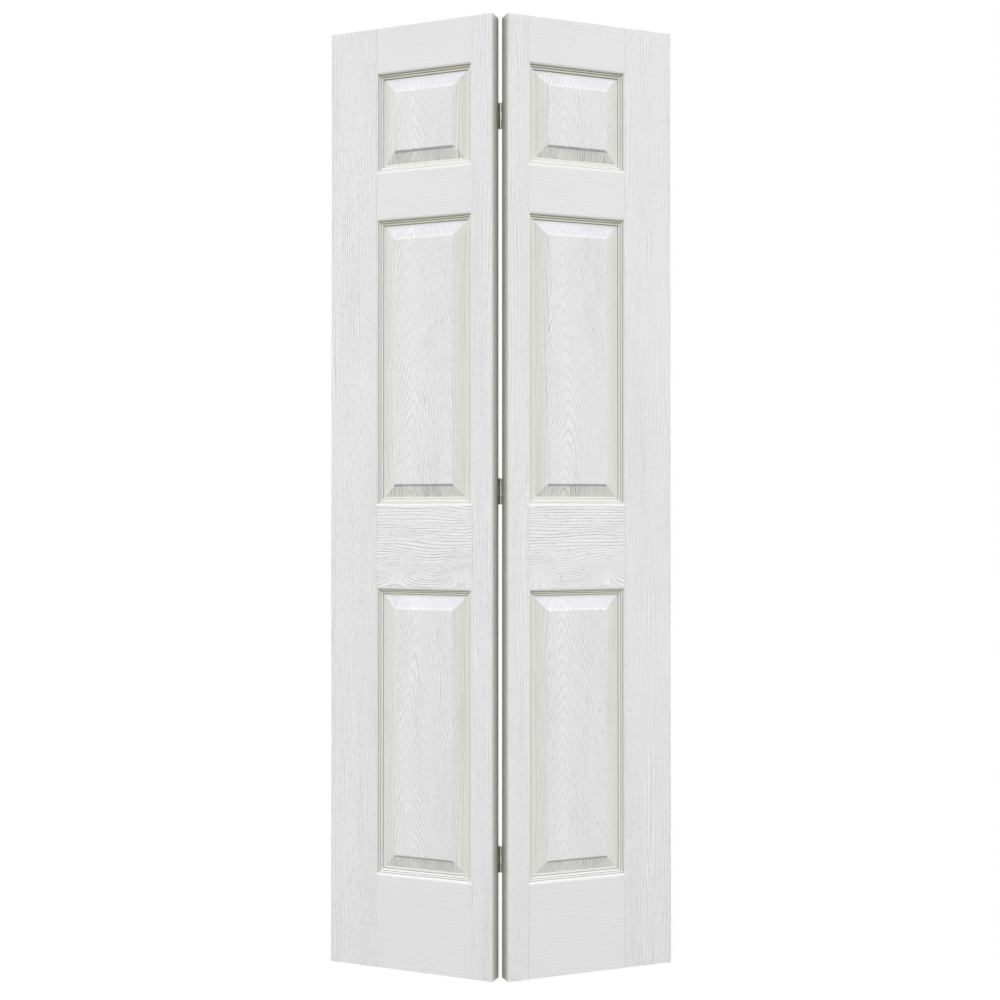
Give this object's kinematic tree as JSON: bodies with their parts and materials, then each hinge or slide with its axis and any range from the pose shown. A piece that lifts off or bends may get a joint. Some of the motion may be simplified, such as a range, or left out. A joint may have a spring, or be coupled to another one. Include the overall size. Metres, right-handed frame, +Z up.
{
  "type": "bifold closet door pair",
  "caption": "Folding closet door of narrow hollow-core leaves with moulded raised panels, hinged edge to edge and standing part folded",
  "frame": {"origin": "middle of the footprint of the part-folded pair, on the floor", "axes": "+Z up along the leaves, -Y towards the side that the fold points to, +X along the width of the pair"},
  "size_m": [0.7346, 0.1702, 2.007],
  "materials": {
    "primed_facing": "white primer on pressed hardboard with an embossed wood grain, satin",
    "softwood": "planed pine, primed white where it shows on the long edges",
    "fibreboard": "raw fibreboard",
    "honeycomb_paper": "kraft paper",
    "hinge_steel": "zinc-plated sheet steel",
    "hinge_pin_steel": "zinc-plated drawn wire",
    "screw_steel": "zinc-plated"
  },
  "bodies": {
    "left_leaf": {"left_front_skin": "primed_facing", "left_back_skin": "primed_facing", "left_outer_stile": "softwood", "left_hinge_stile": "softwood", "left_top_rail": "softwood", "left_bottom_rail": "softwood", "left_knob_block": "fibreboard", "left_core": "honeycomb_paper", "top_hinge_left_plate": "hinge_steel", "middle_hinge_left_plate": "hinge_steel", "bottom_hinge_left_plate": "hinge_steel", "top_hinge_pin": "hinge_pin_steel", "middle_hinge_pin": "hinge_pin_steel", "bottom_hinge_pin": "hinge_pin_steel", "left_hinge_screws": "screw_steel"},
    "right_leaf": {"right_front_skin": "primed_facing", "right_back_skin": "primed_facing", "right_outer_stile": "softwood", "right_hinge_stile": "softwood", "right_top_rail": "softwood", "right_bottom_rail": "softwood", "right_knob_block": "fibreboard", "right_core": "honeycomb_paper", "top_hinge_right_plate": "hinge_steel", "middle_hinge_right_plate": "hinge_steel", "bottom_hinge_right_plate": "hinge_steel", "right_hinge_screws": "screw_steel"}
  },
  "joints": [
    {"name": "fold", "type": "hinge", "parent": "left_leaf", "child": "right_leaf", "pos_m": [0, -0.04942, 1.0035], "axis": [0, 0, 1], "range_deg": [-43, 137]}
  ]
}
